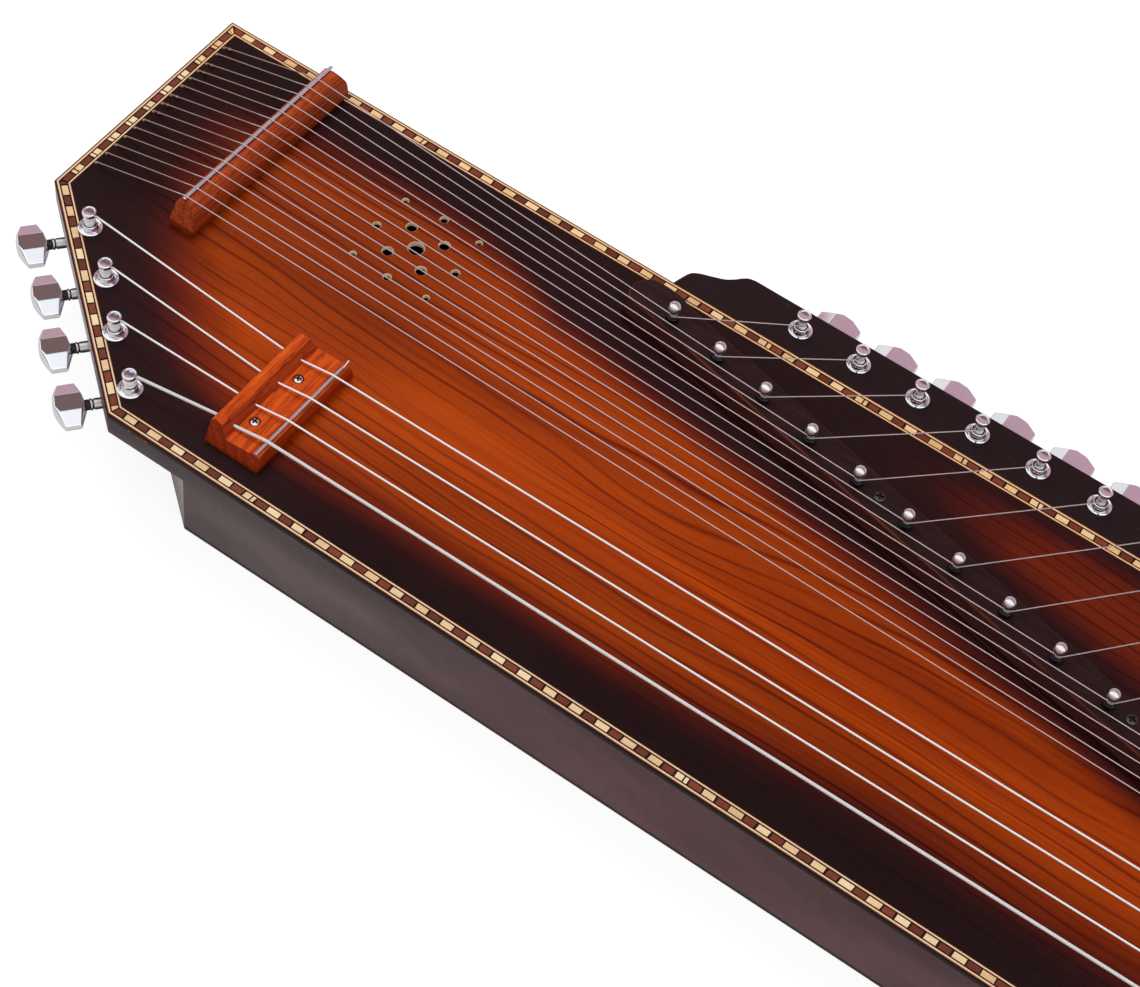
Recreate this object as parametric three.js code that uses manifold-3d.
// Swarsangam: a shallow box zither with four tanpura drone strings and fifteen
// swarmandal harp strings on one soundboard.
// Millimetres, +Z up. x runs along the body from the left (head) end to the right
// (tail) end, y from the player's near side to the far side, and z = 0 is the top
// of the soundboard. The returned group is shifted to put REST_CENTRE, on the
// underside of the flat back, at the origin.
import * as THREE from 'three';
import { mergeVertices } from 'three/addons/utils/BufferGeometryUtils.js';
import Module from 'manifold-3d';

const wasm = await Module();
wasm.setup();

// ---------------------------------------------------------- body dimensions
const TOP_T = 3;            // soundboard thickness
const RIM_Z = -14.5;        // underside of the overhanging rim
const WALL_Z = -50;         // lower edge of the sides
const BACK_Z = -53;         // underside of the back
const WALL_T = 6;           // side thickness
const REST_CENTRE = [452.5, 112.5, BACK_Z];

// Centre line of the marquetry strip, (x, y), anticlockwise from the far left corner.
const FAR_LINE = 225.4;
const PLAN = [[-0.9, FAR_LINE], [1.9, 90.6], [111.3, 0], [794, 0], [905, 92], [905, FAR_LINE]];
const EDGE = 4;             // strip centre line to the edge of the soundboard
const STRIP = { halfWidth: 3.3, depth: 1.5, sidePlay: 0.15, depthPlay: 0.1 };

const NEAR = -EDGE;         // outer and inner faces of the long sides
const NEAR_IN = NEAR + WALL_T;
const FAR = FAR_LINE + EDGE;
const FAR_IN = FAR - WALL_T;

// Outside of the deep box, (x, y), corner for corner with PLAN.
const BOX = [[36, FAR], [36, 92.8], [154, NEAR], [751, NEAR], [869, 92.8], [869, FAR]];

// Sound-hole rosette: centre, then dx, dy and radius of each hole.
const ROSE = [159.6, 166.2];
const ROSE_HOLES = [
  [0, 0, 4.1],
  [-9.8, 9.6, 2.8], [9.6, 10.2, 2.8], [10.2, -10, 2.8], [-9.6, -10.2, 2.8],
  [-23.8, -0.2, 2.1], [-0.4, 23.8, 2.1], [24, -0.4, 2.1], [0, -23.6, 2.1],
  [-22.4, 21.6, 1.6], [21.8, 22.4, 1.6], [22.2, -22, 1.6], [-21.6, -22.2, 1.6],
];

// Tuner wing: the x of its two ends and its end curve as (distance in from the end, y).
const WING_X = [268.9, 834];
const WING_DROP = 0.6;      // wing surface below the soundboard
const WING_CURVE = [
  [0, FAR], [2.3, 239.4], [6.9, 242.8], [13.2, 245.6],
  [19.8, 248.6], [22.8, 251.4], [25.4, 254.3], [31, 257],
];

// ------------------------------------------------- swarmandal string layout
const HARP_COUNT = 15;
const HARP_R = 0.3;         // string radius
const HITCH_Y = [             // hitch holes, from the far side to the near side
  212.0, 205.9, 197.3, 190.8, 184.2, 177.3, 169.0, 161.7,
  154.7, 147.1, 140.2, 132.7, 125.4, 118.3, 110.4,
];
const HITCH_HOLE_R = 0.8;
const ROD = { x: 61.8, z: 13.7, radius: 1.2, y: [109.6, 225.6] };
const ROD_CROSSING = { first: 213.4, step: -7.32 };  // y of the strings on the rod
const PIN_ROW = { start: [284.8, 201.9], step: [29.96, -6.7] };
const PIN_TOP = 10;         // top of the pin bridge
const PIN_R = 1.4;          // pin stem
const PIN_BALL_Z = 18;
const WING_POST_ROW = { start: [334.0, 243.6], step: [33.2, 0] };

// ------------------------------------------------------ drone string layout
// y of each string over the bridge, its radius, and (x, y) of its tuner post
const DRONES = [
  { y: 72.0, radius: 0.45, post: [31.3, 76.3] },
  { y: 54.9, radius: 0.45, post: [57.8, 56.8] },
  { y: 38.5, radius: 0.45, post: [82.1, 34.6] },
  { y: 23.0, radius: 0.75, post: [109.1, 13.3] },
];
const NUT_X = [154, 183.6];
const NUT_Y = [12, 84];
const NUT_NOTCH = { shift: -0.9, z: 8.3 };  // from the string's y; height
const NUT_STEP_X = 163.6;   // where the nut's left ridge meets its flat
const NUT_WIRE = { x: 180.8, z: 9.0, radius: 0.9 };
const NUT_SCREWS = [[168.2, 62.2], [168.0, 30.4]];
const SCREW_BORE_R = 1.5;
const BRIDGE_X = [746, 768];
const BRIDGE_TOP = 20;
const HOLDER_X = [794, 806];
const HOLDER_Y = [17, 79];
const HOLDER_HOLE_Z = 6;
const ANCHOR_X = HOLDER_X[1] + 2.6;  // crossbar the drones end on

// ------------------------------------------------------------------- tuner
// Own frame: x (u) along the row, y (v) outwards to the button, z up.
const BORE_R = 4.6;
const SLEEVE_R = 4.2;
const PLATE_T = 0.8;
const WASHER = { radius: 6, top: 1.3 };
const CASE_OUTSIDE = [-8, 12.8, -8, 8.8, -22.6, RIM_Z];              // x, y, z limits
const CASE_CAVITY = [-6.6, 11.4, -6.4, 6.4, -21.4, RIM_Z - PLATE_T];
const POST = { radius: 3.0, waist: 2.2, cap: 3.4, top: 12.2 };
const WAIST_Z = 7.0;        // where a string meets the post
const GEAR = { radius: 5.6, z: [-19.6, -16.4] };
const SHAFT = { u: 8.6, z: -18, radius: 1.5, worm: 2.4, neck: 2.2 };
const BUTTON_V = 27.3;      // centre of the button
// sections across the button: u, half-length in v, half-thickness in z
const BUTTON_SECTIONS = [[-11.5, 4, 2.4], [-7.4, 6.5, 4], [0, 7.3, 4], [7.4, 6.5, 4], [11.5, 4, 2.4]];

const FINISH = {
  soundboard: { color: '#a8470f', roughness: 0.28 },
  marquetry: { color: '#d9b98a', roughness: 0.35 },
  side: { color: '#564346', roughness: 0.42 },
  endBlock: { color: '#4c3a3c', roughness: 0.45 },
  back: { color: '#3e2e2f', roughness: 0.5 },
  brace: { color: '#b98a5a', roughness: 0.7 },
  wing: { color: '#2b1e1f', roughness: 0.3 },
  harpBridge: { color: '#8c3219', roughness: 0.45 },
  pinBridge: { color: '#2a1c1c', roughness: 0.35 },
  jawari: { color: '#7a3018', roughness: 0.45 },
  orange: { color: '#c84b1e', roughness: 0.4 },
  saddle: { color: '#c9c9cc', roughness: 0.25, metalness: 1 },
  screw: { color: '#8f9094', roughness: 0.35, metalness: 1 },
  harpString: { color: '#d7d3d2', roughness: 0.2, metalness: 1 },
  droneString: { color: '#dedddc', roughness: 0.2, metalness: 1 },
  plate: { color: '#b9babd', roughness: 0.2, metalness: 1 },
  post: { color: '#cfcfd2', roughness: 0.12, metalness: 1 },
  button: { color: '#c8c3c8', roughness: 0.12, metalness: 1 },
};

// ------------------------------------------------------------ solid helpers
const solid = (geometry) => {
  for (const name of Object.keys(geometry.attributes)) {
    if (name !== 'position') geometry.deleteAttribute(name);
  }
  const merged = mergeVertices(geometry, 1e-4);
  return new wasm.Manifold(new wasm.Mesh({
    numProp: 3,
    vertProperties: Float32Array.from(merged.attributes.position.array),
    triVerts: Uint32Array.from(merged.index.array),
  }));
};

const geometryOf = (body) => {
  const mesh = body.getMesh();
  const geometry = new THREE.BufferGeometry();
  const positions = Float32Array.from(mesh.vertProperties);
  geometry.setAttribute('position', new THREE.BufferAttribute(positions, 3));
  geometry.setIndex(new THREE.BufferAttribute(Uint32Array.from(mesh.triVerts), 1));
  geometry.computeVertexNormals();
  return geometry;
};

const union = (bodies) => bodies.reduce((sum, body) => sum.add(body));
const cut = (body, tools) => tools.reduce((rest, tool) => rest.subtract(tool), body);

const shapeOf = (points) => new THREE.Shape(points.map(([x, y]) => new THREE.Vector2(x, y)));
const extrude = (points, depth) => new THREE.ExtrudeGeometry(
  shapeOf(points), { depth, bevelEnabled: false, steps: 1 });

// outline in x-y, from z0 up to z1
const prism = (points, z0, z1) => solid(extrude(points, z1 - z0).translate(0, 0, z0));

// profile in x-z, swept along y
const barY = (profile, y0, y1) => solid(
  extrude(profile, y1 - y0).rotateX(Math.PI / 2).translate(0, y1, 0));

// profile drawn as (distance left of the run, z), swept from start along a level unit direction
const barAlong = (profile, length, [dx, dy], [x, y]) => solid(extrude(profile, length)
  .applyMatrix4(new THREE.Matrix4().makeBasis(
    new THREE.Vector3(-dy, dx, 0), new THREE.Vector3(0, 0, 1), new THREE.Vector3(dx, dy, 0)))
  .translate(x, y, 0));

// profile in y-z, swept along x
const barX = (profile, x0, x1) => barAlong(profile, x1 - x0, [1, 0], [x0, 0]);

const cylinder = (radius, length, sides) => new THREE.CylinderGeometry(radius, radius, length, sides);
const cylinderX = (y, z, x0, x1, radius, sides) => solid(
  cylinder(radius, x1 - x0, sides).rotateZ(Math.PI / 2).translate((x0 + x1) / 2, y, z));
const cylinderY = (x, z, y0, y1, radius, sides) => solid(
  cylinder(radius, y1 - y0, sides).translate(x, (y0 + y1) / 2, z));
const cylinderZ = (x, y, z0, z1, radius, sides) => solid(
  cylinder(radius, z1 - z0, sides).rotateX(Math.PI / 2).translate(x, y, (z0 + z1) / 2));

const block = (x0, x1, y0, y1, z0, z1) => solid(
  new THREE.BoxGeometry(x1 - x0, y1 - y0, z1 - z0)
    .translate((x0 + x1) / 2, (y0 + y1) / 2, (z0 + z1) / 2));

// profiles are (radius, distance along the axis)
const latheGeometry = (profile, sides) => new THREE.LatheGeometry(
  profile.map(([radius, along]) => new THREE.Vector2(radius, along)), sides);
const latheY = (profile, sides) => solid(latheGeometry(profile, sides));
const latheZ = (profile, sides) => solid(latheGeometry(profile, sides).rotateX(Math.PI / 2));

// a path that runs straight between its points, mitred at each bend
class WirePath extends THREE.Curve {
  constructor(points) {
    super();
    this.points = points.map((point) => new THREE.Vector3(...point));
  }

  getSpacedPoints() {
    return this.points.map((point) => point.clone());
  }

  getTangentAt(u) {
    const last = this.points.length - 1;
    const i = Math.round(u * last);
    const here = this.points[i];
    const tangent = new THREE.Vector3();
    if (i > 0) tangent.add(here.clone().sub(this.points[i - 1]).normalize());
    if (i < last) tangent.add(this.points[i + 1].clone().sub(here).normalize());
    return tangent.normalize();
  }
}

const wire = (points, radius, sides) => {
  const section = Array.from({ length: sides }, (_, i) => {
    const angle = (i / sides) * Math.PI * 2;
    return [Math.cos(angle) * radius, Math.sin(angle) * radius];
  });
  return solid(new THREE.ExtrudeGeometry(shapeOf(section), {
    steps: points.length - 1, bevelEnabled: false, extrudePath: new WirePath(points),
  }));
};

// ----------------------------------------------------------- layout helpers
// anticlockwise outline moved outwards by distance, corners kept sharp
const offset = (outline, distance) => outline.map(([x, y], i) => {
  const before = outline[(i + outline.length - 1) % outline.length];
  const after = outline[(i + 1) % outline.length];
  const mitre = new THREE.Vector2(y - before[1], before[0] - x).normalize()
    .add(new THREE.Vector2(after[1] - y, x - after[0]).normalize());
  const scale = distance / (0.5 * mitre.lengthSq());
  return [x + mitre.x * scale, y + mitre.y * scale];
});

// point at height y on the edge from corner i of an outline to the next
const pointOn = (outline, i, y) => {
  const [[x0, y0], [x1, y1]] = [outline[i], outline[i + 1]];
  return [x0 + (x1 - x0) * (y - y0) / (y1 - y0), y];
};

// unit vector from one point towards another
const direction = (from, to) => {
  const [dx, dy] = [to[0] - from[0], to[1] - from[1]];
  const length = Math.hypot(dx, dy);
  return [dx / length, dy / length];
};

const rowOf = ({ start, step }, count) => Array.from({ length: count }, (_, i) => [
  start[0] + step[0] * i, start[1] + step[1] * i]);

// x of the row of hitch holes, which leans slightly with y
const hitchX = (y) => 6.5 - 0.0207 * (y - 90.6);

// bar along the hitch row, reaching left and right of it and past both its ends
const hitchRail = (left, right, past, z0, z1) => {
  const y0 = HITCH_Y[HARP_COUNT - 1] - past;
  const y1 = HITCH_Y[0] + past;
  return prism([
    [hitchX(y0) - left, y0], [hitchX(y0) + right, y0],
    [hitchX(y1) + right, y1], [hitchX(y1) - left, y1]], z0, z1);
};

const HEAD_ANGLE = Math.atan2(92, -111);  // turns +y to face out of the slanted head end
const headTuners = DRONES.map(({ post: [x, y] }, i) => (
  { row: 'drone', number: i + 1, x, y, z: 0, angle: HEAD_ANGLE }));
const wingTuners = rowOf(WING_POST_ROW, HARP_COUNT).map(([x, y], i) => (
  { row: 'harp', number: i + 1, x, y, z: -WING_DROP, angle: 0 }));
const pins = rowOf(PIN_ROW, HARP_COUNT);

const rim = offset(PLAN, EDGE);          // edge of the soundboard
const inner = offset(BOX, -WALL_T);      // inside faces of the box

const topHole = (x, y, radius, sides) => cylinderZ(x, y, -TOP_T - 1, 1, radius, sides);
const tunerBores = (tuners) => tuners.map(({ x, y }) => cylinderZ(x, y, RIM_Z - 2, 1, BORE_R, 8));

// --------------------------------------------------------------- box and top
// ring that follows PLAN, halfWidth to each side of it
const planRing = (halfWidth, z0, z1) => prism(offset(PLAN, halfWidth), z0, z1)
  .subtract(prism(offset(PLAN, -halfWidth), z0 - 1, z1 + 1));

const soundboard = () => cut(prism(rim, -TOP_T, 0), [
  planRing(STRIP.halfWidth + STRIP.sidePlay, -STRIP.depth - STRIP.depthPlay, 1),
  ...ROSE_HOLES.map(([dx, dy, radius]) => (
    topHole(ROSE[0] + dx, ROSE[1] + dy, radius, radius > 3 ? 12 : 8))),
  ...tunerBores(headTuners),
  ...HITCH_Y.map((y) => topHole(hitchX(y), y, HITCH_HOLE_R, 5)),
  ...NUT_SCREWS.map(([x, y]) => topHole(x, y, SCREW_BORE_R, 8)),
]);

const bindingStrip = () => cut(
  planRing(STRIP.halfWidth, -STRIP.depth, 0), tunerBores(headTuners));

// shallow layer out to the rim joined to a deep layer out to the box
const rimAndWall = (pointsOf) => prism(pointsOf(rim), RIM_Z, -TOP_T)
  .add(prism(pointsOf(BOX), WALL_Z, -TOP_T));

// long side between y0 and y1, ending on the two numbered edges of the outline
const longSide = (y0, y1, leftEdge, rightEdge) => rimAndWall((outline) => [
  pointOn(outline, leftEdge, y0), pointOn(outline, rightEdge, y0),
  pointOn(outline, rightEdge, y1), pointOn(outline, leftEdge, y1)]);

// one end between the long sides; lining is its inner face from near to far
const endBlock = (endEdge, slantEdge, corner, lining) => rimAndWall((outline) => [
  pointOn(outline, endEdge, FAR_IN), outline[corner],
  pointOn(outline, slantEdge, NEAR_IN), ...lining]);

// left end, with a pocket for the hitch rail
const headBlock = () => cut(endBlock(0, 1, 1, [inner[2], inner[1], inner[0]]), [
  hitchRail(4.5, 3.5, 5, -9.5, -TOP_T + 1),
  ...tunerBores(headTuners),
]);

// cross bar under the top, deepest along the middle of its lower edge
const soundboardBrace = () => barX([
  [NEAR_IN + 2, -TOP_T], [NEAR_IN + 2, -9], [40, -16], [185, -16],
  [FAR_IN - 2, -9], [FAR_IN - 2, -TOP_T]], 456, 464);

const tunerWing = () => cut(prism([
  ...WING_CURVE.map(([inset, y]) => [WING_X[1] - inset, y]),
  ...WING_CURVE.toReversed().map(([inset, y]) => [WING_X[0] + inset, y]),
], RIM_Z - WING_DROP, -WING_DROP), tunerBores(wingTuners));

// --------------------------------------------------------- swarmandal bridges
// rounded bar with its near end sloped and a groove for the rod
const swarmandalBridge = () => cut(barY([
  [58.5, 0], [72.4, 0], [72.4, 3.6], [71.6, 7.6], [69.5, 11],
  [66.5, 13], [63.4, 13.6], [60.2, 13.2], [58.5, 11.6]], 102.5, 226), [
  barX([[101, 4.5], [110, 16], [101, 16]], 50, 80),
  cylinderY(ROD.x, ROD.z, 100, 230, ROD.radius + 0.3, 10),
]);

const pinBridge = () => {
  const left = 260.4;
  const right = 733;
  const slope = -0.232;                  // of the near edge of the top
  const nearLeft = 200.7;                // y of that edge at left
  const nearRight = nearLeft + slope * (right - left);
  const farRight = 210.3 - 0.2277 * (right - 298.6);
  // foot, (x, y), anticlockwise from the near left corner
  const foot = [
    [left + 1.5, nearLeft - 5.4],
    [right + 1, nearRight - 5.4], [right + 5.5, nearRight + 0.5], [right + 5, nearRight + 8.5],
    [right + 3.2, farRight - 4], [right - 2, farRight],
    [290, 213.0], [280, 216.8], [270, 217.3], [264, 216.6],
    [260.9, 213.9], [258.6, 209.5], [257.6, 202.5],
  ];

  // tool that planes the near face from the foot up to the narrower top
  const planeDepth = PIN_TOP - 12.6;
  const bevel = [
    [0, PIN_TOP], [-12, planeDepth], [-30, planeDepth], [-30, PIN_TOP + 5], [0, PIN_TOP + 5]];
  const along = direction([0, 0], [1, slope]);
  const overrun = 30;
  const bevelStart = [left - along[0] * overrun, nearLeft - along[1] * overrun];
  const body = prism(foot, 0, PIN_TOP).subtract(barAlong(bevel, 560, along, bevelStart));

  const pin = latheZ([
    [0, PIN_TOP - 3], [2.8, PIN_TOP - 3], [2.8, PIN_TOP + 0.9],
    [PIN_R, PIN_TOP + 1.1], [PIN_R, PIN_BALL_Z - 2.2],
    [2.5, PIN_BALL_Z - 1], [2.5, PIN_BALL_Z + 1], [0, PIN_BALL_Z + 2.6]], 6);
  const discs = rowOf({ start: [417.4, 174.1], step: [148.8, -33.2717] }, 3);
  return union([
    body,
    ...pins.map(([x, y]) => pin.translate([x, y, 0])),
    ...discs.map(([x, y]) => cylinderZ(x, y, PIN_TOP - 2, PIN_TOP + 0.9, 3.1, 10)),
  ]);
};

// -------------------------------------------- tanpura nut, bridge and holder
const nutBlock = () => {
  const [y0, y1] = NUT_Y;
  const body = barY([
    [NUT_X[0], 0], [NUT_X[1], 0], [NUT_X[1], 6.2], [182.6, 8.3], [179.0, 8.5], [176.5, 7.6],
    [NUT_STEP_X, 7.0], [162.6, 9.4], [160.2, 12.2], [155.6, 13], [NUT_X[0], 11.6]], y0, y1);
  return cut(body, [
    // sloped near and far ends
    barX([[y0 - 1, 2], [y0 + 6, 15], [y0 - 1, 15]], 150, 190),
    barX([[y1 + 1, 2], [y1 + 1, 15], [y1 - 3.6, 15]], 150, 190),
    cylinderY(NUT_WIRE.x, NUT_WIRE.z, 0, 100, NUT_WIRE.radius + 0.3, 10),
    ...DRONES.map(({ y, radius }) => (
      cylinderX(y + NUT_NOTCH.shift, NUT_NOTCH.z, 150, 168, radius + 0.6, 8))),
    // screw bores and the recesses for their heads
    ...NUT_SCREWS.flatMap(([x, y]) => [
      cylinderZ(x, y, -1, 12, SCREW_BORE_R, 8), cylinderZ(x, y, 5.6, 12, 2.6, 10)]),
  ]);
};

// wire over the nut, turned up at its far end
const nutSaddleWire = () => {
  const { x, z, radius } = NUT_WIRE;
  return wire([
    [x, 14.6, z], [x, 80.4, z], [x + 0.5, 83, z + 0.4], [x + 0.3, 86.2, z + 1.6]], radius, 8);
};

// cross-slotted screw
const nutScrew = ([x, y]) => {
  const [slotLong, slotWide] = [1.4, 0.3];  // half-sizes
  return cut(cylinderZ(x, y, 5.9, 7.9, 2.3, 10).add(cylinderZ(x, y, -2.6, 6.5, 1.2, 8)), [
    block(x - slotLong, x + slotLong, y - slotWide, y + slotWide, 7.2, 9),
    block(x - slotWide, x + slotWide, y - slotLong, y + slotLong, 7.2, 9),
  ]);
};

// bridge on two feet with an arch between them
const jawariBridge = () => barX([
  [8, 0], [22, 0], [26, 9], [35, 13.4], [57, 13.4], [66, 9], [70, 0], [84, 0],
  [84, 5], [81, 15], [80.5, BRIDGE_TOP - 0.8], [79, BRIDGE_TOP],
  [14, BRIDGE_TOP], [12.5, BRIDGE_TOP - 0.8], [12, 15], [8, 5]], ...BRIDGE_X);

const stringHolder = () => {
  const [x0, x1] = HOLDER_X;
  return cut(
    barY([[x0, 0], [x1, 0], [x1, 9], [x1 - 1.5, 10.5], [x0 + 1.5, 10.5], [x0, 9]], ...HOLDER_Y),
    DRONES.map(({ y, radius }) => (
      cylinderX(y, HOLDER_HOLE_Z, x0 - 2, x1 + 2, radius + 0.5, 8))));
};

// ------------------------------------------------------------------ strings
const SIDE_GAP = 0.35;      // string surface to a post waist or pin stem beside it
const OVER_GAP = 0.25;      // string surface to a rod or wire under it

// end of a string: beside the post's waist, on the right of its run
const postEnd = (from, post, radius) => {
  const [dx, dy] = direction(from, post);
  const reach = POST.waist + radius + SIDE_GAP;
  return [post[0] + dy * reach, post[1] - dx * reach];
};

// from the hitch rail over the rod, round the outside of the pin's bend, to the post
const harpString = (i) => {
  const y = HITCH_Y[i];
  const x = hitchX(y);
  const crossing = [ROD.x, ROD_CROSSING.first + ROD_CROSSING.step * i];
  const pin = pins[i];
  const post = [wingTuners[i].x, wingTuners[i].y];
  const turn = direction(direction(crossing, pin), direction(pin, post));
  const reach = PIN_R + HARP_R + SIDE_GAP;
  const bend = [pin[0] - turn[0] * reach, pin[1] - turn[1] * reach];
  return wire([
    [x, y, -5.5], [x, y, 0.35], [x + 1.6, y, 1.1],
    [...crossing, ROD.z + ROD.radius + HARP_R + OVER_GAP],
    [...bend, PIN_TOP + 2.2],
    [...postEnd(bend, post, HARP_R), WAIST_Z - WING_DROP]], HARP_R, 4);
};

const swarmandalStrings = () => union([
  hitchRail(3.5, 2.5, 4, -8.5, -4.5), ...pins.map((_, i) => harpString(i))]);

// from the post through the nut, over the bridge and through the holder
const droneString = ({ y, radius, post }) => {
  const nutY = y + NUT_NOTCH.shift;
  const bridgeZ = BRIDGE_TOP + radius + 0.3;
  return wire([
    [...postEnd([NUT_X[0], nutY], post, radius), WAIST_Z],
    [NUT_X[0] - 1, nutY, NUT_NOTCH.z], [NUT_STEP_X, nutY, NUT_NOTCH.z + 0.05],
    [NUT_WIRE.x, y, NUT_WIRE.z + NUT_WIRE.radius + radius + OVER_GAP],
    [BRIDGE_X[0], y, bridgeZ], [BRIDGE_X[1], y, bridgeZ],
    [HOLDER_X[0] - 1, y, HOLDER_HOLE_Z], [ANCHOR_X, y, HOLDER_HOLE_Z]], radius, 6);
};

const tanpuraStrings = () => union([
  cylinderY(ANCHOR_X, HOLDER_HOLE_Z, 20, 75, 1.3, 8), ...DRONES.map(droneString)]);

// ------------------------------------------------------------------- tuners
// hollow case with sleeve and washer, in the tuner's own frame
const housing = () => {
  const hollowCase = block(...CASE_OUTSIDE).subtract(block(...CASE_CAVITY));
  const sleeve = cylinderZ(0, 0, RIM_Z - PLATE_T, 0, SLEEVE_R, 8);
  const washer = cylinderZ(0, 0, 0, WASHER.top, WASHER.radius, 8);
  return cut(union([hollowCase, sleeve, washer]), [
    cylinderZ(0, 0, RIM_Z - 2, 3, POST.radius + 0.45, 8),
    cylinderY(SHAFT.u, SHAFT.z, 5, 10, SHAFT.radius + 0.5, 6),
  ]);
};

// flat link between two neighbouring housings
const plateLink = (a, b) => {
  const [dx, dy] = direction([a.x, a.y], [b.x, b.y]);
  const inset = 5;
  const half = 3;
  const [x0, y0, x1, y1] = [a.x + dx * inset, a.y + dy * inset, b.x - dx * inset, b.y - dy * inset];
  return prism([
    [x0 + dy * half, y0 - dx * half], [x1 + dy * half, y1 - dx * half],
    [x1 - dy * half, y1 + dx * half], [x0 - dy * half, y0 + dx * half],
  ], RIM_Z - PLATE_T + a.z, RIM_Z + a.z);
};

const tunerPlate = (tuners) => union([
  ...tuners.map(({ x, y, z, angle }) => (
    housing().rotate([0, 0, THREE.MathUtils.radToDeg(angle)]).translate([x, y, z]))),
  ...tuners.slice(1).map((tuner, i) => plateLink(tuners[i], tuner)),
]);

// string post above the washer, gear wheel at its foot
const tunerPost = () => latheZ([
  [0, GEAR.z[0]], [GEAR.radius, GEAR.z[0]], [GEAR.radius, GEAR.z[1]], [POST.radius, GEAR.z[1]],
  [POST.radius, 4.4], [POST.waist, 5.4], [POST.waist, 8.6],
  [POST.cap, 9.4], [POST.cap, POST.top], [0, POST.top]], 8);

// bevelled block skinned over BUTTON_SECTIONS, four corners to a section
const buttonBlock = () => {
  const positions = BUTTON_SECTIONS.flatMap(([u, v, z]) => (
    [u, -v, -z, u, v, -z, u, v, z, u, -v, z]));
  const last = (BUTTON_SECTIONS.length - 1) * 4;
  const index = [0, 2, 1, 0, 3, 2, last, last + 1, last + 2, last, last + 2, last + 3];
  for (let ring = 0; ring < last; ring += 4) {
    for (let corner = 0; corner < 4; corner += 1) {
      const a = ring + corner;
      const b = ring + (corner + 1) % 4;
      index.push(a, b, a + 4, b, b + 4, a + 4);
    }
  }
  const geometry = new THREE.BufferGeometry();
  geometry.setAttribute('position', new THREE.Float32BufferAttribute(positions, 3));
  geometry.setIndex(index);
  return solid(geometry);
};

// button with worm, journal and neck turned on one axis
const tunerButton = () => {
  const { u, z, radius, worm, neck } = SHAFT;
  const shaft = latheY([
    [0, -6], [worm, -6], [worm, 6], [radius, 6.4], [radius, 9.2],
    [neck, 9.6], [neck, 21.5], [0, 21.5]], 6);
  return buttonBlock().translate([u, BUTTON_V, z]).add(shaft.translate([u, 0, z]));
};

// ----------------------------------------------------------------- assembly
const part = new THREE.Group();
part.position.set(...REST_CENTRE).negate();

const meshOf = (name, geometry, finish) => {
  const mesh = new THREE.Mesh(geometry, new THREE.MeshStandardMaterial(finish));
  mesh.name = name;
  return mesh;
};
const add = (name, body, finish) => part.add(meshOf(name, geometryOf(body), finish));

add('soundboard', soundboard(), FINISH.soundboard);
add('binding_strip', bindingStrip(), FINISH.marquetry);
add('near_side', longSide(NEAR, NEAR_IN, 1, 3), FINISH.side);
add('far_side', longSide(FAR_IN, FAR, 0, 4), FINISH.side);
add('head_block', headBlock(), FINISH.endBlock);
add('tail_block', endBlock(4, 3, 4, inner.slice(3)), FINISH.endBlock);
add('back_board', prism(BOX, BACK_Z, WALL_Z), FINISH.back);
add('soundboard_brace', soundboardBrace(), FINISH.brace);
add('tuner_wing', tunerWing(), FINISH.wing);
add('swarmandal_bridge', swarmandalBridge(), FINISH.harpBridge);
add('swarmandal_saddle_rod', cylinderY(ROD.x, ROD.z, ...ROD.y, ROD.radius, 10), FINISH.saddle);
add('pin_bridge', pinBridge(), FINISH.pinBridge);
add('nut_block', nutBlock(), FINISH.orange);
add('nut_saddle_wire', nutSaddleWire(), FINISH.saddle);
NUT_SCREWS.forEach((place, i) => add(`nut_screw_${i + 1}`, nutScrew(place), FINISH.screw));
add('jawari_bridge', jawariBridge(), FINISH.jawari);
add('string_holder', stringHolder(), FINISH.orange);
add('swarmandal_strings', swarmandalStrings(), FINISH.harpString);
add('tanpura_strings', tanpuraStrings(), FINISH.droneString);
add('head_tuner_plate', tunerPlate(headTuners), FINISH.plate);
add('wing_tuner_plate', tunerPlate(wingTuners), FINISH.plate);

const postGeometry = geometryOf(tunerPost());
const buttonGeometry = geometryOf(tunerButton());
for (const { row, number, x, y, z, angle } of [...headTuners, ...wingTuners]) {
  const frame = new THREE.Group();
  frame.position.set(x, y, z);
  frame.rotation.z = angle;
  frame.add(
    meshOf(`${row}_post_${number}`, postGeometry, FINISH.post),
    meshOf(`${row}_button_${number}`, buttonGeometry, FINISH.button));
  part.add(frame);
}

export default part;
